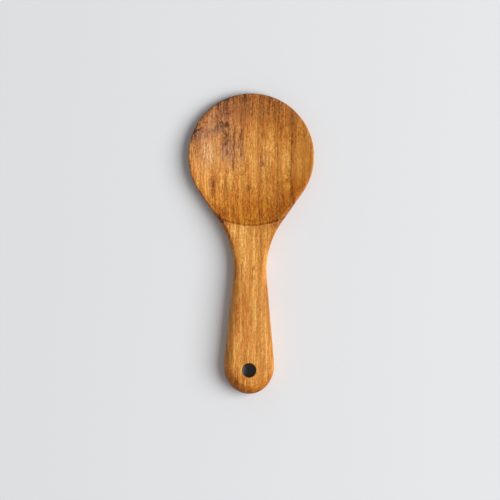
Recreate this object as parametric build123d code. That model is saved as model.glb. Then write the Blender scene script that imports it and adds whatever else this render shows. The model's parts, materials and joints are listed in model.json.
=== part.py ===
from build123d import *
from math import acos, asin, atan2, cos, degrees, hypot, pi, sin, sqrt
import os

# A rice paddle, carved from one piece of wood. All sizes are in millimetres.
# It lies on its back on a table, with the dished face of the head up.
# X runs across it, Y along it towards the tip of the head, and Z up.
# The origin is on the table, under the middle of the paddle's length and width.
# The handle takes up what the head and the neck leave of the length.

# Outline, seen from above
paddle_length = 200.0
head_width = 83.8
neck_width = 21.8            # across the narrowest place
neck_to_head_centre = 75.4   # from the narrowest place, along the paddle
flank_length = 24.0          # the straight stretch from the neck's hollow to the head
grip_width = 33.4            # across the widest place of the handle
shoulder_radius_share = 0.614    # of the grip's width, where its sides turn in to the end
nose_radius_share = 0.458        # of the grip's width, at the very end

# Top of the handle
grip_height = 15.6           # over the table, from the end of the handle to the dip
neck_height = 13.4           # over the table, from the dip to the dish
dip_length = 42.0
dip_to_crease = 14.7         # from the dip's lower end to the dish

# Rounded edges of the handle and neck
top_round = 8.0
back_round = 4.4
planed_off = 0.4             # what the flat top takes off the rounded blank

# Dish in the head
crease_to_head = 4.5         # from where the dish starts in the neck to the head's circle
low_point_past_centre = 10.9     # from the middle of the head towards the tip
dish_depth = 9.8             # under the neck's flat top
dish_cross_radius = 155.0

# Back of the head
back_cross_radius = 110.0
back_tip_radius = 260.0      # the curve that lifts the back towards the tip
tip_lift_length = 45.0       # how much of the head it lifts
flat_depth = 0.8             # how much of the round back is planed flat

# Hanging hole
hole_diameter = 9.0
hole_from_end = 15.9
hole_ease = 0.4              # taken off its sharp edges

# How far each cutting shape runs past the wood
overrun = 6.0

head_radius = head_width / 2
neck_radius = neck_width / 2
shoulder_radius = shoulder_radius_share * grip_width
nose_radius = nose_radius_share * grip_width

# Places along the paddle, from the end of the handle
head_from_end = paddle_length - head_radius
neck_from_end = head_from_end - neck_to_head_centre
crease_from_end = paddle_length - head_width - crease_to_head
low_point_from_end = head_from_end + low_point_past_centre
tip_lift_from_end = paddle_length - tip_lift_length
dip_end_from_end = crease_from_end - dip_to_crease
dip_start_from_end = dip_end_from_end - dip_length

# The circle of the neck's hollow and the head's circle share a tangent as long as the flank
square_gap = neck_radius ** 2 + neck_to_head_centre ** 2 - head_radius ** 2 - flank_length ** 2
neck_hollow_radius = square_gap / (head_width - neck_width)

blank_height = grip_height + planed_off
cut_half_width = head_radius + overrun
cut_height = 2 * blank_height


def point_on(centre, radius, angle):
    """The point of a circle at an angle in radians."""
    return (centre[0] + radius * cos(angle), centre[1] + radius * sin(angle))


def arc_between(centre, radius, start, end):
    """The arc of a circle from one angle in radians to another."""
    return CenterArc(centre, radius, degrees(start), degrees(end - start))


def side_normal(round_centre, round_radius, hollow_centre, turn):
    """The outward normal's angle on the straight side from a round end to the neck's hollow."""
    run_x = hollow_centre[0] - round_centre[0]
    run_y = hollow_centre[1] - round_centre[1]
    spread = acos((round_radius + neck_hollow_radius) / hypot(run_x, run_y))
    return atan2(run_y, run_x) + turn * spread


def make_outline():
    """The paddle seen from above: arcs and straight sides, each tangent to the next."""
    head_centre = (0, head_from_end)
    hollow_centre = (neck_radius + neck_hollow_radius, neck_from_end)
    nose_centre = (0, nose_radius)
    shoulder_x = grip_width / 2 - shoulder_radius
    shoulder_rise = sqrt((shoulder_radius - nose_radius) ** 2 - shoulder_x ** 2)
    shoulder_centre = (shoulder_x, nose_radius + shoulder_rise)

    turn_in = atan2(-shoulder_rise, -shoulder_x)
    grip_normal = side_normal(shoulder_centre, shoulder_radius, hollow_centre, -1)
    flank_normal = side_normal(head_centre, head_radius, hollow_centre, 1)
    grip_meets_hollow = point_on(hollow_centre, neck_hollow_radius, grip_normal + pi)
    flank_meets_hollow = point_on(hollow_centre, neck_hollow_radius, flank_normal + pi)

    right_side = [
        arc_between(nose_centre, nose_radius, -pi / 2, turn_in),
        arc_between(shoulder_centre, shoulder_radius, turn_in, grip_normal),
        Line(point_on(shoulder_centre, shoulder_radius, grip_normal), grip_meets_hollow),
        arc_between(hollow_centre, neck_hollow_radius, grip_normal + pi, flank_normal + pi),
        Line(flank_meets_hollow, point_on(head_centre, head_radius, flank_normal)),
        arc_between(head_centre, head_radius, flank_normal, pi / 2),
    ]
    left_side = [mirror(edge, about=Plane.YZ) for edge in right_side]
    return make_face(right_side + left_side)


def make_blank():
    """The sawn outline at full height, with its long edges rounded over."""
    blank = extrude(make_outline(), blank_height)
    blank = fillet(blank.faces().sort_by(Axis.Z)[0].edges(), back_round)
    return fillet(blank.faces().sort_by(Axis.Z)[-1].edges(), top_round)


def make_top_waste():
    """What is planed off the top: level over the grip, then dipping to the lower neck."""
    far_end = paddle_length + overrun
    dip_start = (dip_start_from_end, grip_height)
    dip_middle = (dip_start_from_end + dip_length / 2, (grip_height + neck_height) / 2)
    dip_end = (dip_end_from_end, neck_height)
    profile = [
        Line((-overrun, grip_height), dip_start),
        TangentArc(dip_start, dip_middle, tangent=(1, 0)),
        TangentArc(dip_end, dip_middle, tangent=(-1, 0)),
        Line(dip_end, (far_end, neck_height)),
        Polyline(
            (far_end, neck_height),
            (far_end, cut_height),
            (-overrun, cut_height),
            (-overrun, grip_height),
        ),
    ]
    return extrude(Plane.YZ * make_face(profile), cut_half_width, both=True)


def bowed_section(from_end, low_height, radius):
    """A section across the paddle, bowed down to a low point and level on top."""
    side_height = low_height + radius - sqrt(radius ** 2 - cut_half_width ** 2)
    left = (-cut_half_width, side_height)
    right = (cut_half_width, side_height)
    bow = ThreePointArc(left, (0, low_height), right)
    rest = Polyline(right, (cut_half_width, cut_height), (-cut_half_width, cut_height), left)
    across = Plane(origin=(0, from_end, 0), x_dir=(1, 0, 0), z_dir=(0, -1, 0))
    return across * make_face([bow, rest])


def make_dish():
    """The hollow of the head: a bowed section swung about a level axis above it."""
    reach = low_point_from_end - crease_from_end
    long_radius = (reach ** 2 + dish_depth ** 2) / (2 * dish_depth)
    low_height = neck_height - dish_depth
    swing_axis = Axis((0, low_point_from_end, low_height + long_radius), (1, 0, 0))
    half_swing = degrees(asin((reach + overrun) / long_radius))
    section = bowed_section(low_point_from_end, low_height, dish_cross_radius)
    return revolve(section.rotate(swing_axis, -half_swing), swing_axis, 2 * half_swing)


def make_back():
    """All that lies over the back's curve: straight at first, then lifting to the tip."""
    section = bowed_section(tip_lift_from_end, -flat_depth, back_cross_radius)
    straight = extrude(section, tip_lift_from_end + overrun)
    lift_axis = Axis((0, tip_lift_from_end, back_tip_radius - flat_depth), (1, 0, 0))
    lift = degrees(asin((paddle_length + overrun - tip_lift_from_end) / back_tip_radius))
    return straight + revolve(section, lift_axis, lift)


def make_hole():
    """The hanging hole, which flares by its ease at both faces of the handle."""
    radius = hole_diameter / 2
    flare_radius = radius + 2 * hole_ease
    profile = Polyline(
        (0, -hole_ease),
        (flare_radius, -hole_ease),
        (radius, hole_ease),
        (radius, grip_height - hole_ease),
        (flare_radius, grip_height + hole_ease),
        (0, grip_height + hole_ease),
        close=True,
    )
    return Pos(0, hole_from_end, 0) * revolve(Plane.XZ * make_face(profile), Axis.Z)


def make_paddle():
    """The wood between its top, its dish and its back, with the hanging hole."""
    wood = make_blank() - make_top_waste() - make_dish()
    wood = wood & make_back()
    return Pos(0, -paddle_length / 2, 0) * (wood - make_hole())


os.makedirs("parts", exist_ok=True)
paddle = make_paddle()
export_step(paddle, "parts/paddle.step")
print("paddle volume in cubic centimetres:", round(paddle.volume / 1000, 2))
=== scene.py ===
import json
from math import cos, exp, pi, radians, sin

import bmesh
import bpy
from bpy.props import FloatProperty, FloatVectorProperty, IntProperty, PointerProperty
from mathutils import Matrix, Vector


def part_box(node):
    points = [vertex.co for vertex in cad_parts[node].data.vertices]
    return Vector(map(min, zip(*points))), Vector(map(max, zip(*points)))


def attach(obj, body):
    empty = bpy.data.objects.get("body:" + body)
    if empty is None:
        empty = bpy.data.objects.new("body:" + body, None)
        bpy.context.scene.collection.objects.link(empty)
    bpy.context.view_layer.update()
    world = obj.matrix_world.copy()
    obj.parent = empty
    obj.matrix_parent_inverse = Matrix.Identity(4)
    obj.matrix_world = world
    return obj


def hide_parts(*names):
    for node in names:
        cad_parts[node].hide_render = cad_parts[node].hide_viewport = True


bl_info = {
    "name": "Wooden rice paddle",
    "version": (1, 0, 0),
    "blender": (4, 5, 0),
    "location": "3D View > Sidebar > Rice Paddle",
    "description": "Finishes a one-piece rice paddle in oiled wood and sets it on a pale table",
    "category": "Object",
}

MM = 0.001

# Everything is in metres in the paddle's own frame: X across it, Y from the end of the
# handle to the tip of the head, Z up out of the dished face. The table is at Z = 0.
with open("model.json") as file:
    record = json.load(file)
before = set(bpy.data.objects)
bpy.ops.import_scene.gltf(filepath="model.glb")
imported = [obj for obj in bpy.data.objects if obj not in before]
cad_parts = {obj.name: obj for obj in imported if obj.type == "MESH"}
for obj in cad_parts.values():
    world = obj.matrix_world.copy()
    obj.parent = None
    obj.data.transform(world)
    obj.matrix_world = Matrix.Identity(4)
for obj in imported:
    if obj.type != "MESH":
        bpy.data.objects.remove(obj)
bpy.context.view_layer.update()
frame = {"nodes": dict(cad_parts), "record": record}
paddle_low, paddle_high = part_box("paddle")
hang_hole = next(m for m in frame["record"]["mounts"] if m["name"] == "hang_hole")
hole_x, hole_y = hang_hole["pos_m"][:2]
hole_radius = hang_hole["dims"]["r_mm"] * MM

# Where the rim of the head starts along the paddle, how sharp its corner is at least, and
# how far the faces beside it may point down
RIM_FROM = 16 * MM
RIM_ANGLE = radians(35)
RIM_FACE_DROP = 0.1

# Where the dish meets the neck, in millimetres: its place on the middle line, and its bow
CREASE_FROM = 11.7
CREASE_BOW = 0.0105

# Sizes of the photograph's frame, in its own pixels, and where the paddle lies in it
PHOTO_SIDE_PX = 500.0
PADDLE_MIDDLE_PX = (250.3, 243.6)
PADDLE_LENGTH_PX = 300.5
PADDLE_LEAN_DEGREES = 0.57

# The tables below are in millimetres in the paddle's frame, as seen from above.
# Growth lines that run along the whole board: place across it, half width and depth
GROWTH_LINES = (
    (-36.0, 1.4, 0.30),
    (-25.4, 1.1, 0.35),
    (-17.6, 0.8, 0.50),
    (-11.8, 0.7, 0.55),
    (4.9, 0.8, 0.60),
    (11.2, 0.9, 0.30),
    (17.6, 0.9, 0.55),
    (26.8, 1.0, 0.65),
    (33.0, 1.4, 0.35),
)

# Broad clouds: middle, half width and half length, then how much paler (or darker), how much
# more soaked with oil and how much more stained the wood is there; marked rows paint light and
# shade
CLOUDS = (
    (2, 98, 34, 15, -0.23, 0.0, 0.22),
    (6, 97, 6, 2.5, -0.07, 0.0, 0.0),
    (-20, 90, 14, 10, -0.12, 0.0, 0.35),
    (-26, 78, 12, 10, -0.03, 0.0, 0.50),
    (-33, 78, 3, 5, -0.05, 0.0, 0.0),
    (-28, 70, 2.5, 3, -0.12, 0.0, 0.0),
    (-12.4, 90, 3, 9, 0.09, 0.0, 0.0),
    (-20, 91, 4, 5, -0.07, 0.0, 0.0),
    (-20, 75, 5, 8, -0.06, 0.0, 0.0),
    (-7.5, 84, 2, 8, -0.03, 0.0, 0.0),
    (9, 84, 12, 9, -0.09, 0.12, 0.0),
    (24, 82, 16, 12, -0.06, 0.25, 0.0),
    (25, 73, 9, 7, -0.04, 0.20, 0.0),
    # These two: partly a paler patch of the wood, partly a painted sheen where the dish's left
    # side faces the light
    (-30, 60, 9, 11, 0.08, 0.0, 0.50),
    (-34, 61, 3, 7, 0.05, 0.0, 0.10),
    (-28, 52, 2, 8, -0.05, 0.0, 0.0),
    (-27.2, 36, 3.2, 6.5, -0.13, 0.20, 0.0),
    (-14, 61, 4.5, 5, 0.09, 0.0, 0.20),
    # Painted shade on the head's left rim, which faces away from the light
    (-38, 64, 3.5, 12, -0.17, 0.0, 0.0),
    # Partly a paler patch of the wood, partly a painted sheen where the dish's left side faces
    # the light
    (-33, 44, 5, 9, 0.08, 0.0, 0.0),
    (-13, 68, 6, 12, 0.0, 0.0, 0.30),
    (-13, 46, 5, 12, 0.08, 0.0, 0.0),
    (-6.6, 52, 1.8, 30, -0.09, 0.0, 0.0),
    (1, 51, 5, 14, 0.10, 0.0, 0.0),
    (21, 57, 4, 15, 0.18, 0.0, 0.0),
    (28, 68, 5, 14, -0.04, 0.25, 0.0),
    (25.6, 52, 2, 26, -0.06, 0.10, 0.0),
    (14.4, 47, 2, 24, -0.05, 0.10, 0.0),
    (22, 41, 8, 9, 0.02, 0.30, 0.0),
    (33, 42, 8, 18, -0.03, 0.30, 0.0),
    (30, 34, 5, 12, -0.11, 0.20, 0.0),
    (35, 62, 7, 16, 0.04, 0.10, 0.0),
    (26, 24, 4, 5, -0.12, 0.20, 0.0),
    (18, 18, 12, 8, -0.09, 0.25, 0.0),
    (-22, 27, 4, 7, 0.08, 0.0, 0.0),
    (13, 64, 4, 9, 0.06, 0.0, 0.0),
    (-8, 64, 2, 9, -0.06, 0.0, 0.0),
    (-6, 22, 5, 9, -0.08, 0.0, 0.0),
    (-15, 17, 4, 7, 0.06, 0.0, 0.0),
    (0.5, 15, 4, 3, -0.08, 0.0, 0.0),
    (-9.5, 15, 3, 2.5, -0.10, 0.0, 0.0),
    (11.5, 20, 4, 6, -0.11, 0.0, 0.0),
    # These three paint light on the neck's left flank, which faces away from the light
    (-13.5, 9.5, 2.5, 3.5, 0.25, 0.0, 0.0),
    (-8.9, 3, 1.6, 9, 0.10, 0.0, 0.0),
    (-12, 3, 3, 12, 0.07, 0.0, 0.0),
    (2, -8, 5, 18, 0.0, 0.30, 0.0),
    (10, -14, 3, 16, 0.08, 0.0, 0.0),
    (-13, -33, 2, 10, 0.10, 0.0, 0.0),
    (-6.8, -33, 2, 10, -0.10, 0.0, 0.0),
    (9.5, -31, 2.5, 8, -0.12, 0.0, 0.0),
    (-5, -46, 4, 22, -0.07, 0.0, 0.0),
    (9, -50, 4, 20, 0.04, 0.0, 0.0),
    (-8.3, -70, 1.2, 18, 0.12, 0.0, 0.0),
    (-3, -78, 4, 9, -0.06, 0.0, 0.0),
    (8, -78, 8, 12, 0.06, 0.0, 0.0),
    (9, -92, 4, 5, 0.06, 0.0, 0.10),
    # Darker lower left of the handle's end: painted shade where it faces away from the light,
    # and more soaked end grain
    (-11, -93, 9, 8, -0.20, 0.15, 0.0),
)

# Dark marks: middle, half width, half length, lean off the grain and depth
DARK_MARKS = (
    (-36.6, 74.6, 1.0, 2.8, 1.3, 1.50),
    (-23.7, 76.6, 1.3, 2.2, 0.8, 0.25),
    (-22.1, 78.9, 1.3, 1.8, 0.9, 0.28),
    (-20.0, 80.1, 2.4, 1.2, 0.0, 0.30),
    (-16.9, 78.8, 1.2, 1.8, 0.0, 1.10),
    (-17.1, 73.2, 1.0, 2.0, -0.6, 0.85),
    (-17.0, 70.4, 1.1, 1.6, 0.5, 0.85),
    (-17.2, 67.2, 1.2, 1.8, 0.0, 0.70),
    (-15.6, 60.6, 1.0, 2.4, 0.0, 0.45),
    (-21.0, 62.0, 0.8, 3.0, 0.0, 0.30),
    (-11.5, 65.5, 0.65, 12.0, 0.0, 0.65),
    (-11.9, 52.0, 0.7, 3.5, 0.1, 0.50),
    (-11.2, 41.0, 0.4, 8.0, 0.0, 0.50),
    (-7.0, 80.0, 0.6, 8.5, 0.0, 0.50),
    (-7.3, 72.0, 1.1, 3.6, 0.0, 0.70),
    (-6.8, 61.0, 0.7, 3.0, 0.0, 0.45),
    (6.9, 53.4, 0.7, 2.0, 0.0, 0.60),
    (8.5, 53.2, 0.55, 1.8, 0.0, 0.55),
    (4.8, 59.0, 0.5, 17.0, 0.0, 0.30),
    (5.5, 28.0, 0.45, 14.0, -0.04, 0.40),
    (6.6, 3.0, 0.45, 13.0, -0.05, 0.30),
    (-2.1, 55.6, 0.5, 8.0, 0.0, 0.20),
    (17.6, 46.0, 0.6, 31.0, 0.0, 0.30),
    (26.7, 61.0, 0.6, 28.0, 0.0, 0.45),
    (21.8, 29.3, 0.5, 6.5, -0.165, 0.50),
    (-20.3, 50.0, 0.6, 2.6, 0.0, 0.50),
    (-17.5, 35.0, 0.6, 14.0, 0.0, 0.45),
    (-25.0, 39.8, 0.9, 2.0, 0.0, 0.40),
    (-24.8, 33.6, 0.7, 2.6, 0.0, 0.35),
    (-1.2, 37.0, 0.7, 1.6, 0.0, 0.55),
    (-8.2, 30.3, 0.5, 1.0, 0.0, 0.60),
    (-11.1, 21.3, 0.5, 2.4, 0.0, 0.60),
    (-1.8, 22.3, 0.5, 1.1, 0.0, 0.50),
    (-1.0, 15.4, 2.2, 0.4, 0.0, 0.45),
    (-20.0, 16.9, 0.7, 2.8, -0.9, 1.10),
    (1.8, -19.5, 0.5, 5.0, 0.03, 0.75),
    (-5.6, -18.0, 0.5, 8.0, 0.0, 0.45),
    (10.2, -73.0, 0.5, 12.5, -0.01, 0.35),
    (3.7, -92.4, 0.8, 0.6, 0.0, 0.45),
)

# Greyish stains round the knots: middle, half width, half length, lean and depth
STAINS = (
    (-34.5, 71.6, 4.8, 3.4, 0.5, 0.80),
    (-20.8, 76.5, 4.0, 3.2, 0.3, 0.80),
    (-29.0, 74.3, 5.5, 1.6, 0.0, 0.55),
    (-17.8, 62.0, 2.6, 6.5, 0.0, 0.85),
    (-13.9, 63.0, 1.6, 8.5, 0.0, 0.60),
    (-12.7, 53.5, 1.6, 4.0, 0.0, 0.60),
    (-6.9, 63.0, 1.9, 8.0, -0.12, 0.80),
    (-7.7, 53.0, 1.3, 3.0, 0.0, 0.40),
    (7.5, 55.5, 2.4, 5.8, 0.0, 0.45),
    (28.6, 61.0, 2.0, 25.0, 0.0, 0.15),
    (26.9, 83.5, 2.8, 4.6, 0.0, 0.40),
    (18.0, 28.0, 1.9, 14.0, 0.0, 0.30),
    (27.5, 32.6, 1.4, 7.0, 0.0, 0.40),
    (-26.5, 36.0, 2.2, 7.0, 0.0, 0.35),
)

# Where the fine grain is livelier (or calmer): middle, half width, half length and how much
LIVELY_CLOUDS = (
    (-11, -4, 5, 18, 0.40),
    (33, 60, 12, 26, -0.45),
    (0, 94, 36, 14, -0.18),
)

# Where fewer of the streaks are rosy: middle, half width, half length and how many fewer
GOLDEN_CLOUDS = (
    (10, -50, 6, 34, 0.80),
    (0, -5, 16, 18, 0.40),
)

# Streaks along the grain: width, length, a number that sets each kind apart, how many finer
# sizes are mixed in, and how far down into the board they change
STREAKS = {
    "broad": (5.5, 160.0, 3.1, 2.0, 30.0),
    "band": (2.2, 60.0, 43.7, 1.0, 10.0),
    "thread": (1.0, 28.0, 11.7, 2.0, 4.0),
    "grain": (0.80, 5.0, 61.3, 2.0, 1.3),
    "speckle": (0.75, 1.5, 23.9, 1.0, 0.9),
    "fibre": (0.22, 3.0, 91.3, 1.0, 0.5),
    "pores": (0.5, 2.6, 37.3, 0.0, 0.7),
    "shiny": (0.8, 6.0, 83.1, 1.0, 1.5),
    "breaks": (0.9, 3.0, 51.7, 1.0, 30.0),
    "lively": (4.5, 30.0, 17.9, 1.0, 9.0),
    "rosy": (1.7, 18.0, 71.3, 1.5, 4.0),
    "layers": (9.0, 45.0, 29.3, 2.0, 0.8),
}

# Streaks that only count above a level: where they begin to, and where they count in full
STREAK_LEVELS = {
    "pores": (0.14, 0.25),
    "shiny": (0.06, 0.22),
    "breaks": (-0.14, 0.10),
    "rosy": (-0.12, 0.12),
}

# How much the strength of the fine grain varies from streak to streak
LIVELINESS = 1.9

# The wood's tone: its middle, what each trait adds to it, and the colours that it runs through
TONE_MIDDLE = 0.60
TONE_SHARES = {
    "broad": 0.45,
    "band": 0.24,
    # Paler and darker clouds: mostly the wood's own tone, some rows painted light and shade
    "paler": 1.0,
    "lively_thread": 0.62,
    "lively_grain": 0.61,
    "fibre": 0.35,
    "shiny": 0.10,
    # Darker where the surface faces along the grain: partly end grain, partly painted shade on
    # the ends
    "end_face": -0.26,
    # Painted shade on the left rim of the head, the side away from the key light
    "left_rim": -0.20,
    "lines": -0.18,
    "busy_pores": -0.10,
    "marks": -0.35,
    "curls": -0.20,
    "stained": -0.17,
    # Painted shade in the crease where the dish meets the neck
    "fold": -0.21,
    "layers": 0.60,
}
TONE_COLOURS = (
    (0.0, "dark_wood"),
    (0.30, "brown_wood"),
    (0.61, "golden_wood"),
    (0.91, "pale_wood"),
)

# What each trait adds to the roughness, and to the height of the surface in grain depths
ROUGHNESS_SHARES = {"grain": 0.25, "pores": 0.15, "scorched": 0.5}
RELIEF_SHARES = {
    "thread": 0.9,
    "grain": 0.9,
    "speckle": 0.7,
    "fibre": 0.4,
    "pores": -0.8,
    "lines": -0.3,
    "marks": -0.6,
    "ripple": 2.5,
}

# How strongly the dark marks and the browning round the hanging hole colour the wood
MARKS_STRENGTH = 0.75
BROWNING_STRENGTH = 0.15

# How far the hole's scorched wall and the browning round it reach into the wood
SCORCH_REACH = 0.25
BROWNING_REACH = 1.6


class PaddleShape(bpy.types.PropertyGroup):
    """How finely the paddle is meshed, and how far its edges are eased."""

    mesh_step: FloatProperty(
        name="Mesh step", description="Side of the squares that the surface is made of",
        default=0.53 * MM, min=0.3 * MM, max=3 * MM, unit="LENGTH", precision=5,
    )
    easing_passes: IntProperty(
        name="Easing passes", description="How often the sharp edges are rubbed down",
        default=4, min=0, max=40,
    )
    rim_round: FloatProperty(
        name="Rim round", description="How much is taken off the corner of the rim",
        default=0.5 * MM, min=0, max=2 * MM, unit="LENGTH", precision=4,
    )


class WoodFinish(bpy.types.PropertyGroup):
    """The colours and the sheen of the oiled wood."""

    pale_wood: FloatVectorProperty(
        name="Pale wood", description="The palest streaks", subtype="COLOR",
        default=(0.99, 0.562, 0.182), min=0, max=1,
    )
    golden_wood: FloatVectorProperty(
        name="Golden wood", description="Most of the wood", subtype="COLOR",
        default=(0.67, 0.278, 0.055), min=0, max=1,
    )
    brown_wood: FloatVectorProperty(
        name="Brown wood", description="The dark streaks", subtype="COLOR",
        default=(0.37, 0.121, 0.021), min=0, max=1,
    )
    dark_wood: FloatVectorProperty(
        name="Dark wood", description="Pores, knots and cracks", subtype="COLOR",
        default=(0.045, 0.012, 0.003), min=0, max=1,
    )
    stain_tint: FloatVectorProperty(
        name="Stain tint", description="What the stains round the knots are multiplied by",
        subtype="COLOR", default=(0.80, 0.965, 2.40), min=0, max=4,
    )
    scorch: FloatVectorProperty(
        name="Scorch", description="The burnt wall of the hanging hole", subtype="COLOR",
        default=(0.012, 0.009, 0.008), min=0, max=1,
    )
    red_tint: FloatVectorProperty(
        name="Red tint", description="What the rosy streaks are multiplied by", subtype="COLOR",
        default=(0.99, 0.85, 0.74), min=0, max=2,
    )
    gold_tint: FloatVectorProperty(
        name="Gold tint", description="What the golden streaks are multiplied by",
        subtype="COLOR", default=(1.0, 1.045, 0.95), min=0, max=2,
    )
    soaked_tint: FloatVectorProperty(
        name="Soaked tint", description="What end grain is multiplied by", subtype="COLOR",
        default=(0.80, 0.665, 0.27), min=0, max=2,
    )
    roughness: FloatProperty(
        name="Roughness", description="Roughness of the oiled surface",
        default=0.50, min=0, max=1, subtype="FACTOR",
    )
    shine: FloatProperty(
        name="Shine", description="Strength of the oil's reflection",
        default=0.16, min=0, max=1, subtype="FACTOR",
    )
    grain_depth: FloatProperty(
        name="Grain depth", description="How deep the pores and the raised grain are",
        default=0.05 * MM, min=0, max=1 * MM, unit="LENGTH", precision=5,
    )


class StageSet(bpy.types.PropertyGroup):
    """The table, the light and the camera."""

    floor_colour: FloatVectorProperty(
        name="Floor colour", description="Colour of the table", subtype="COLOR",
        default=(0.775, 0.785, 0.80), min=0, max=1,
    )
    floor_side: FloatProperty(
        name="Floor side", description="Side of the square table",
        default=8.0, min=1, max=50, unit="LENGTH",
    )
    camera_height: FloatProperty(
        name="Camera height", description="Height of the camera over the table",
        default=2.4, min=0.3, max=5, unit="LENGTH",
    )
    key_distance: FloatProperty(
        name="Key distance", description="From the paddle to the key light",
        default=4.0, min=0.5, max=20, unit="LENGTH",
    )
    key_side: FloatProperty(
        name="Key side", description="Side of the square key light",
        default=3.3, min=0.05, max=10, unit="LENGTH",
    )
    key_elevation: FloatProperty(
        name="Key elevation", description="Height of the key light over the horizon",
        default=radians(47), min=0, max=pi / 2, subtype="ANGLE",
    )
    key_turn: FloatProperty(
        name="Key turn", description="Turn of the key light from the right towards the tip",
        default=radians(-4), min=-pi, max=pi, subtype="ANGLE",
    )
    key_power: FloatProperty(
        name="Key power", description="Power of the key light",
        default=184.0, min=0, max=5000, unit="POWER",
    )
    fill_level: FloatProperty(
        name="Fill level", description="Light that comes from all round",
        default=0.28, min=0, max=2,
    )


class Value:
    """A number that varies over a surface: sums and products of it add Math nodes."""

    def __init__(self, finish, socket):
        self.finish = finish
        self.socket = socket

    def __add__(self, other):
        return self.finish.math("ADD", self, other)

    def __sub__(self, other):
        return self.finish.math("SUBTRACT", self, other)

    def __rsub__(self, other):
        return self.finish.math("SUBTRACT", other, self)

    def __mul__(self, other):
        return self.finish.math("MULTIPLY", self, other)

    def __truediv__(self, other):
        return self.finish.math("DIVIDE", self, other)

    def __pow__(self, other):
        return self.finish.math("POWER", self, other)

    def clamp(self):
        """The number, kept between 0 and 1."""
        return self.finish.math("MAXIMUM", self.finish.math("MINIMUM", self, 1.0), 0.0)

    def size(self):
        """The number without its sign."""
        return self.finish.math("ABSOLUTE", self)

    def lift(self, low):
        """A number between 0 and 1, squeezed so that it starts at low instead of 0."""
        return self * (1.0 - low) + low

    def step(self, low, high):
        """0 below low and 1 above high, with a smooth rise between them."""
        return self.finish.node(
            "ShaderNodeMapRange",
            {"interpolation_type": "SMOOTHSTEP"},
            {"Value": self, "From Min": low, "From Max": high},
        )


class Finish:
    """A material's node tree, with one way to add any node."""

    def __init__(self, name):
        self.material = bpy.data.materials.new(name)
        self.material.use_nodes = True
        self.tree = self.material.node_tree
        self.shader = self.tree.nodes["Principled BSDF"]

    def node(self, kind, settings=(), sockets=(), output=0):
        """Adds a node, sets it up, then fills its sockets with values or links."""
        node = self.tree.nodes.new(kind)
        for name, value in dict(settings).items():
            if name == "stops":
                self.set_stops(node.color_ramp, value)
            else:
                setattr(node, name, value)
        for name, value in dict(sockets).items():
            self.fill(node.inputs[name], value)
        return Value(self, node.outputs[output])

    def set_stops(self, ramp, stops):
        """Gives a colour ramp its stops, each a place and a colour."""
        while len(ramp.elements) > 1:
            ramp.elements.remove(ramp.elements[-1])
        for index, (place, colour) in enumerate(stops):
            stop = ramp.elements[0] if index == 0 else ramp.elements.new(place)
            stop.position = place
            stop.color = (*colour, 1.0)

    def fill(self, socket, value):
        """Links a socket to a Value, or gives it a constant."""
        if isinstance(value, Value):
            self.tree.links.new(value.socket, socket)
        elif hasattr(value, "__len__") and len(value) == 3 and len(socket.default_value) == 4:
            socket.default_value = (*value, 1.0)
        else:
            socket.default_value = value

    def math(self, operation, *values):
        """A Math node of one or two values."""
        return self.node("ShaderNodeMath", {"operation": operation}, dict(enumerate(values)))

    def vector(self, x, y, z=0.0):
        """A vector of three numbers."""
        return self.node("ShaderNodeCombineXYZ", {}, {0: x, 1: y, 2: z})

    def noise(self, place, detail, distortion=0.0):
        """Soft noise between 0 and 1 whose lumps are about one unit wide."""
        return self.node(
            "ShaderNodeTexNoise",
            {},
            {"Vector": place, "Scale": 1.0, "Detail": detail, "Distortion": distortion},
        )

    def mix(self, factor, first, second, blend="MIX"):
        """Two colours mixed by a factor."""
        return self.node(
            "ShaderNodeMix",
            {"data_type": "RGBA", "blend_type": blend},
            {0: factor, 6: first, 7: second},
            output=2,
        )

    def set(self, name, value):
        """Fills one socket of the material's shader."""
        self.fill(self.shader.inputs[name], value)


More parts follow.
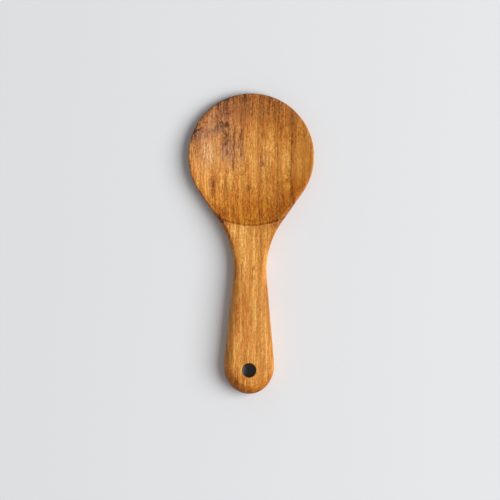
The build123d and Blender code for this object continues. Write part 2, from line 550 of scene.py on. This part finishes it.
class Wood(Finish):
    """Oiled, straight-grained wood, cut along its grain from one board.

    All places and widths here are in millimetres in the paddle's frame. The traits are
    what varies over the wood, each a number of its own.
    """

    def __init__(self, name):
        super().__init__(name)
        coordinates = self.tree.nodes.new("ShaderNodeTexCoord")
        place = self.node(
            "ShaderNodeVectorMath",
            {"operation": "SCALE"},
            {0: Value(self, coordinates.outputs["Object"]), "Scale": 1 / MM},
        )
        self.x, self.y, self.z = self.split(place)
        self.normal = self.split(Value(self, coordinates.outputs["Normal"]))
        self.on_top = self.normal[2].step(-0.5, 0.1)
        self.across = self.find_across()
        self.on_board = self.vector(self.across, self.y, 1.0)
        self.ragged_x, self.ragged_y = self.find_ragged()
        self.ragged = self.vector(self.ragged_x, self.ragged_y, 1.0)
        self.traits = {}
        self.find_streaks()
        self.find_marks()
        self.find_edges()
        self.find_lively_grain()

    def split(self, vector):
        """The three numbers of a vector."""
        node = self.tree.nodes.new("ShaderNodeSeparateXYZ")
        self.tree.links.new(vector.socket, node.inputs[0])
        return [Value(self, output) for output in node.outputs]

    def find_across(self):
        """The place across the growth rings, which lean a little and waver along the board."""
        lean = 0.16
        reach = 2.0
        waver = self.noise(self.vector(self.x / 38, self.y / 46, self.z / 30), detail=1.0)
        return self.x - self.z * lean + (waver - 0.5) * reach

    def find_ragged(self):
        """The place seen from above, shaken a little so that marks get ragged edges."""
        shaken = []
        for place, layer, reach in ((self.x, 4.5, 2.1), (self.y, 9.5, 6.0)):
            shake = self.noise(self.vector(self.x / 2.8, self.y / 5, layer), detail=3.0)
            shaken.append(place + (shake - 0.5) * reach)
        return shaken

    def find_streaks(self):
        """Finds the streaks, growth lines and ripples that run through the whole board."""
        traits = self.traits
        for name, sizes in STREAKS.items():
            traits[name] = self.streaks(*sizes)
        for name, (low, high) in STREAK_LEVELS.items():
            traits[name] = traits[name].step(low, high)
        traits["speckle"] *= self.normal[2].size().step(0.3, 0.8).lift(0.35)
        traits["layers"] *= self.normal[0].size().step(0.45, 0.90)
        for *place, fewer in GOLDEN_CLOUDS:
            traits["rosy"] *= 1.0 - self.cloud(*place) * fewer
        traits["lines"] = self.growth_lines() * traits["breaks"].lift(0.6)
        wave = self.vector(self.x / 12, self.y / 8, self.z / 10)
        traits["ripple"] = self.noise(wave, detail=0.0)

    def find_marks(self):
        """Finds the clouds, some of which paint light and shade, the dark marks, the stains and
        the end grain, which is darkened further as painted shade.
        """
        traits = self.traits
        breaks = traits["breaks"]
        end_grain = self.normal[1].size()
        paler, soaked, stained = self.all_clouds(CLOUDS)
        marks = self.all_marks(DARK_MARKS) * breaks.lift(0.55) * self.on_top
        stains = self.all_marks(STAINS) * breaks.lift(0.65) * self.on_top
        traits["paler"] = paler
        traits["marks"] = marks.clamp()
        traits["curls"] = self.curls() * stained
        traits["stained"] = (stained + stains).clamp()
        traits["soaked"] = (soaked + end_grain.step(0.07, 0.30)).clamp()
        # Faces that point along the grain: darker end grain, and painted shade on the ends of
        # the paddle
        traits["end_face"] = end_grain.step(0.40, 0.95)

    def find_edges(self):
        """Finds the painted shade on the head's left rim and along the crease, and the edge of
        the hole.
        """
        # Painted shade along the head's left rim, which faces away from the key light
        left_rim = self.rim_distance().step(3.8, 0.4) * self.x.step(6.0, -20.0)
        past_crease = self.past_crease()
        # Painted shade: a thin dark band just past the crease, into the dish
        fold = past_crease.step(-0.3, 0.4) * (1.0 - past_crease.step(0.6, 1.8))
        self.traits["left_rim"] = left_rim * self.y.step(14.0, 26.0).lift(0.6)
        self.traits["fold"] = fold * self.on_top
        self.traits["scorched"] = self.near_hole(SCORCH_REACH)
        self.traits["browned"] = self.near_hole(BROWNING_REACH)

    def find_lively_grain(self):
        """Finds the fine grain, which is stronger in some streaks and places than in others."""
        traits = self.traits
        (livelier,) = self.all_clouds(LIVELY_CLOUDS)
        lively = livelier + 1.0 + traits["lively"] * LIVELINESS
        busy = self.y.step(-15.0, 20.0).lift(0.7)
        traits["lively_thread"] = traits["thread"] * lively
        traits["lively_grain"] = (traits["grain"] + traits["speckle"]) * busy * lively
        traits["busy_pores"] = traits["pores"] * busy

    def streaks(self, width, length, seed, detail, drift):
        """Noise that is drawn out along the grain, about 0 and mostly within 0.3."""
        place = self.vector(self.across / width + seed, self.y / length, self.z / drift)
        return self.noise(place, detail) - 0.5

    def growth_lines(self):
        """The dark lines at the edges of the growth rings, 0 to 1.

        Each one starts sharply on its left side and fades out on its right side.
        """
        low, high = -60.0, 60.0
        fade = 2.4
        stops = []
        for place, half_width, depth in GROWTH_LINES:
            for offset, share in ((-half_width, 0.0), (0.0, 1.0), (fade * half_width, 0.0)):
                stops.append(((place + offset - low) / (high - low), (depth * share,) * 3))
        where = (self.across - low) / (high - low)
        return self.node("ShaderNodeValToRGB", {"stops": stops}, {0: where})

    def curls(self):
        """Thin, wandering lines like the figure round a knot, 0 to 1."""
        half_width = 0.045
        place = self.vector(self.ragged_x / 5.0, self.ragged_y / 7.0, 2.5)
        bands = self.noise(place, detail=1.0, distortion=1.2) - 0.5
        return (1.0 - bands.size() / half_width).clamp()

    def dot(self, place, shares):
        """The sum of a vector's three numbers, each times its share."""
        return self.node(
            "ShaderNodeVectorMath", {"operation": "DOT_PRODUCT"}, {0: place, 1: shares}, 1
        )

    def bell(self, distance):
        """A bell curve: 1 where a squared distance is 0, and 1/e where it is 1."""
        return self.math("POWER", exp(-1), distance)

    def cloud(self, x, y, half_width, half_length):
        """A broad, soft cloud, 1 in its middle."""
        aside = self.dot(self.on_board, (1 / half_width, 0, -x / half_width))
        along = self.dot(self.on_board, (0, 1 / half_length, -y / half_length))
        return self.bell(aside * aside + along * along)

    def mark(self, x, y, half_width, half_length, lean):
        """A ragged mark along the grain, 1 in its middle."""
        shares = (1 / half_width, -lean / half_width, (lean * y - x) / half_width)
        aside = self.dot(self.ragged, shares)
        along = self.dot(self.ragged, (0, 1 / half_length, -y / half_length))
        return self.bell(aside * aside + along ** 4.0)

    def all_marks(self, table):
        """The sum of a table of marks, each at its own depth."""
        total = 0.0
        for *place, depth in table:
            total = self.mark(*place) * depth + total
        return total

    def all_clouds(self, table):
        """The sums of a table of clouds, one for each kind of change that its rows name."""
        totals = [0.0] * (len(table[0]) - 4)
        for x, y, half_width, half_length, *changes in table:
            cloud = self.cloud(x, y, half_width, half_length)
            for index, change in enumerate(changes):
                if change:
                    totals[index] = cloud * change + totals[index]
        return totals

    def past_crease(self):
        """How far a point is past the crease, from the neck into the dish."""
        return self.y - self.x * self.x * CREASE_BOW - CREASE_FROM

    def rim_distance(self):
        """How far a point of the head is in from its rim."""
        along = self.y - (paddle_high.y - paddle_high.x) / MM
        return paddle_high.x / MM - (self.x * self.x + along * along) ** 0.5

    def near_hole(self, reach):
        """1 on the wall of the hanging hole, down to 0 at a distance from it."""
        wall = hole_radius / MM
        aside = self.x - hole_x / MM
        along = self.y - hole_y / MM
        distance = (aside ** 2.0 + along ** 2.0) ** 0.5
        return 1.0 - distance.step(wall, wall + reach)

    def weigh(self, shares, start=0.0):
        """A starting number and the traits in a table, each times its share."""
        total = start
        for name, share in shares.items():
            total = self.traits[name] * share + total
        return total

    def find_colour(self, colours):
        """The colour of the wood's tone, tinted, stained, soaked, marked and scorched."""
        traits = self.traits
        stops = [(tone, getattr(colours, name)) for tone, name in TONE_COLOURS]
        tone = self.weigh(TONE_SHARES, TONE_MIDDLE)
        colour = self.node("ShaderNodeValToRGB", {"stops": stops}, {0: tone})
        tint = self.mix(traits["rosy"], colours.gold_tint, colours.red_tint)
        colour = self.mix(1.0, colour, tint, "MULTIPLY")
        stained = traits["stained"] * (1.0 - traits["marks"])
        colour = self.mix(stained, colour, colours.stain_tint, "MULTIPLY")
        colour = self.mix(traits["soaked"], colour, colours.soaked_tint, "MULTIPLY")
        colour = self.mix(traits["marks"] * MARKS_STRENGTH, colour, colours.dark_wood)
        browned = traits["browned"] * BROWNING_STRENGTH
        colour = self.mix(browned, colour, colours.soaked_tint, "MULTIPLY")
        return self.mix(traits["scorched"], colour, colours.scorch)


def add_material():
    """The oiled wood of the paddle."""
    colours = bpy.context.scene.wood_finish
    wood = Wood("oiled_wood")
    wood.set("Base Color", wood.find_colour(colours))
    wood.set("Roughness", wood.weigh(ROUGHNESS_SHARES, colours.roughness).clamp())
    wood.set("Specular IOR Level", colours.shine)
    relief = wood.weigh(RELIEF_SHARES)
    sockets = {"Strength": 1.0, "Distance": colours.grain_depth, "Height": relief}
    wood.set("Normal", wood.node("ShaderNodeBump", {}, sockets))
    return wood.material


def select_only(piece):
    """Makes a piece the only selected and active object."""
    bpy.ops.object.select_all(action="DESELECT")
    piece.select_set(True)
    bpy.context.view_layer.objects.active = piece


def apply_modifier(piece, kind, **settings):
    """Adds a modifier to a piece, sets it up and applies it."""
    select_only(piece)
    modifier = piece.modifiers.new(kind.lower(), kind)
    for name, value in settings.items():
        setattr(modifier, name, value)
    bpy.ops.object.modifier_apply(modifier=modifier.name)


def copy_of_node(node, name):
    """A new object with a merged copy of a frame node's mesh, standing where the node is."""
    piece = bpy.data.objects.new(name, node.data.copy())
    bpy.context.scene.collection.objects.link(piece)
    select_only(piece)
    bpy.ops.mesh.customdata_custom_splitnormals_clear()
    bpy.ops.object.mode_set(mode="EDIT")
    bpy.ops.mesh.select_all(action="SELECT")
    bpy.ops.mesh.remove_doubles(threshold=0.001 * MM)
    bpy.ops.object.mode_set(mode="OBJECT")
    return piece


class RICEPADDLE_OT_carve_paddle(bpy.types.Operator):
    """Carve the one-piece paddle, ease its edges and oil it"""

    bl_idname = "ricepaddle.carve_paddle"
    bl_label = "Carve Paddle"

    def execute(self, context):
        shape = context.scene.paddle_shape
        piece = copy_of_node(frame["nodes"]["paddle"], "carved_paddle")
        pattern = copy_of_node(frame["nodes"]["paddle"], "pattern")
        self.mark_rim(pattern)
        apply_modifier(
            pattern, "BEVEL", limit_method="WEIGHT", width=shape.rim_round, segments=4,
            use_clamp_overlap=False,
        )
        apply_modifier(piece, "REMESH", mode="VOXEL", voxel_size=shape.mesh_step)
        apply_modifier(piece, "SHRINKWRAP", target=pattern, wrap_method="NEAREST_SURFACEPOINT")
        bpy.data.objects.remove(pattern)
        apply_modifier(piece, "SMOOTH", factor=0.5, iterations=shape.easing_passes)
        select_only(piece)
        bpy.ops.object.shade_smooth()
        piece.data.materials.clear()
        piece.data.materials.append(add_material())
        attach(piece, "root")
        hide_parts("paddle")
        return {"FINISHED"}

    def mark_rim(self, piece):
        """Gives the corner between the dish and the outer side of the head its full bevel."""
        mesh = bmesh.new()
        mesh.from_mesh(piece.data)
        weight = mesh.edges.layers.float.new("bevel_weight_edge")
        marked = 0
        for edge in mesh.edges:
            on_top = all(face.normal.z > -RIM_FACE_DROP for face in edge.link_faces)
            on_head = edge.verts[0].co.y > RIM_FROM
            if on_top and on_head and edge.calc_face_angle(0) > RIM_ANGLE:
                edge[weight] = 1.0
                marked += 1
        mesh.to_mesh(piece.data)
        mesh.free()
        if not marked:
            raise RuntimeError("The head has no rim to round")


class RICEPADDLE_OT_set_stage(bpy.types.Operator):
    """Lay the pale table and set the soft light and the camera over it"""

    bl_idname = "ricepaddle.set_stage"
    bl_label = "Set Stage"

    def execute(self, context):
        stage = context.scene.stage_set
        self.lay_floor(stage)
        self.hang_key(stage)
        self.fill_world(context, stage)
        self.place_camera(context, stage)
        context.scene.view_settings.view_transform = "Standard"
        return {"FINISHED"}

    def lay_floor(self, stage):
        """Lays the pale table under the paddle."""
        bpy.ops.object.select_all(action="DESELECT")
        bpy.ops.mesh.primitive_plane_add(size=stage.floor_side)
        floor = bpy.context.object
        floor.name = "floor"
        finish = Finish("pale_table")
        finish.set("Base Color", stage.floor_colour)
        finish.set("Roughness", 0.75)
        finish.set("Specular IOR Level", 0.15)
        floor.data.materials.append(finish.material)

    def hang_key(self, stage):
        """Hangs the large, soft key light over the right side of the paddle."""
        level = cos(stage.key_elevation)
        towards = Vector((
            level * cos(stage.key_turn),
            level * sin(stage.key_turn),
            sin(stage.key_elevation),
        ))
        bpy.ops.object.light_add(type="AREA", location=towards * stage.key_distance)
        key = bpy.context.object
        key.name = "key_light"
        key.rotation_euler = towards.to_track_quat("Z", "Y").to_euler()
        key.data.shape = "SQUARE"
        key.data.size = stage.key_side
        key.data.energy = stage.key_power
        key.visible_camera = False

    def fill_world(self, context, stage):
        """Lights the paddle from all round, with the table's colour past the table."""
        world = bpy.data.worlds.new("studio")
        world.use_nodes = True
        context.scene.world = world
        nodes, links = world.node_tree.nodes, world.node_tree.links
        path = nodes.new("ShaderNodeLightPath")
        seen = path.outputs["Is Camera Ray"]
        for kind in ("Is Glossy Ray", "Is Transmission Ray"):
            either = nodes.new("ShaderNodeMath")
            either.operation = "MAXIMUM"
            links.new(seen, either.inputs[0])
            links.new(path.outputs[kind], either.inputs[1])
            seen = either.outputs[0]
        level = stage.fill_level
        colour = nodes.new("ShaderNodeMix")
        colour.data_type = "RGBA"
        colour.inputs[6].default_value = (level, level, level, 1)
        colour.inputs[7].default_value = (*stage.floor_colour, 1)
        links.new(seen, colour.inputs[0])
        links.new(colour.outputs[2], nodes["Background"].inputs["Color"])

    def place_camera(self, context, stage):
        """Puts the camera straight over the paddle, framed as the photograph is."""
        metres_per_px = (paddle_high.y - paddle_low.y) / PADDLE_LENGTH_PX
        aside = (PHOTO_SIDE_PX / 2 - PADDLE_MIDDLE_PX[0]) * metres_per_px
        ahead = (PADDLE_MIDDLE_PX[1] - PHOTO_SIDE_PX / 2) * metres_per_px
        lean = radians(PADDLE_LEAN_DEGREES)
        location = (
            aside * cos(lean) - ahead * sin(lean),
            aside * sin(lean) + ahead * cos(lean),
            stage.camera_height,
        )
        bpy.ops.object.camera_add(location=location, rotation=(0, 0, lean))
        camera = bpy.context.object
        seen_side = PHOTO_SIDE_PX * metres_per_px
        drop = stage.camera_height - paddle_high.z / 2
        camera.data.lens = camera.data.sensor_width * drop / seen_side
        context.scene.camera = camera


class RICEPADDLE_PT_sidebar(bpy.types.Panel):
    """The paddle's sizes, colours and steps"""

    bl_idname = "RICEPADDLE_PT_sidebar"
    bl_label = "Rice Paddle"
    bl_space_type = "VIEW_3D"
    bl_region_type = "UI"
    bl_category = "Rice Paddle"

    def draw(self, context):
        scene = context.scene
        groups = (
            (scene.paddle_shape, RICEPADDLE_OT_carve_paddle),
            (scene.wood_finish, None),
            (scene.stage_set, RICEPADDLE_OT_set_stage),
        )
        for group, operator in groups:
            box = self.layout.box()
            for name in group.bl_rna.properties.keys():
                if name not in ("rna_type", "name"):
                    box.prop(group, name)
            if operator:
                box.operator(operator.bl_idname)


CLASSES = (
    PaddleShape,
    WoodFinish,
    StageSet,
    RICEPADDLE_OT_carve_paddle,
    RICEPADDLE_OT_set_stage,
    RICEPADDLE_PT_sidebar,
)


def register():
    for made in CLASSES:
        bpy.utils.register_class(made)
    bpy.types.Scene.paddle_shape = PointerProperty(type=PaddleShape)
    bpy.types.Scene.wood_finish = PointerProperty(type=WoodFinish)
    bpy.types.Scene.stage_set = PointerProperty(type=StageSet)


def unregister():
    del bpy.types.Scene.stage_set
    del bpy.types.Scene.wood_finish
    del bpy.types.Scene.paddle_shape
    for made in reversed(CLASSES):
        bpy.utils.unregister_class(made)


def main():
    register()
    bpy.ops.ricepaddle.carve_paddle()
    bpy.ops.ricepaddle.set_stage()


if __name__ == "__main__":
    main()
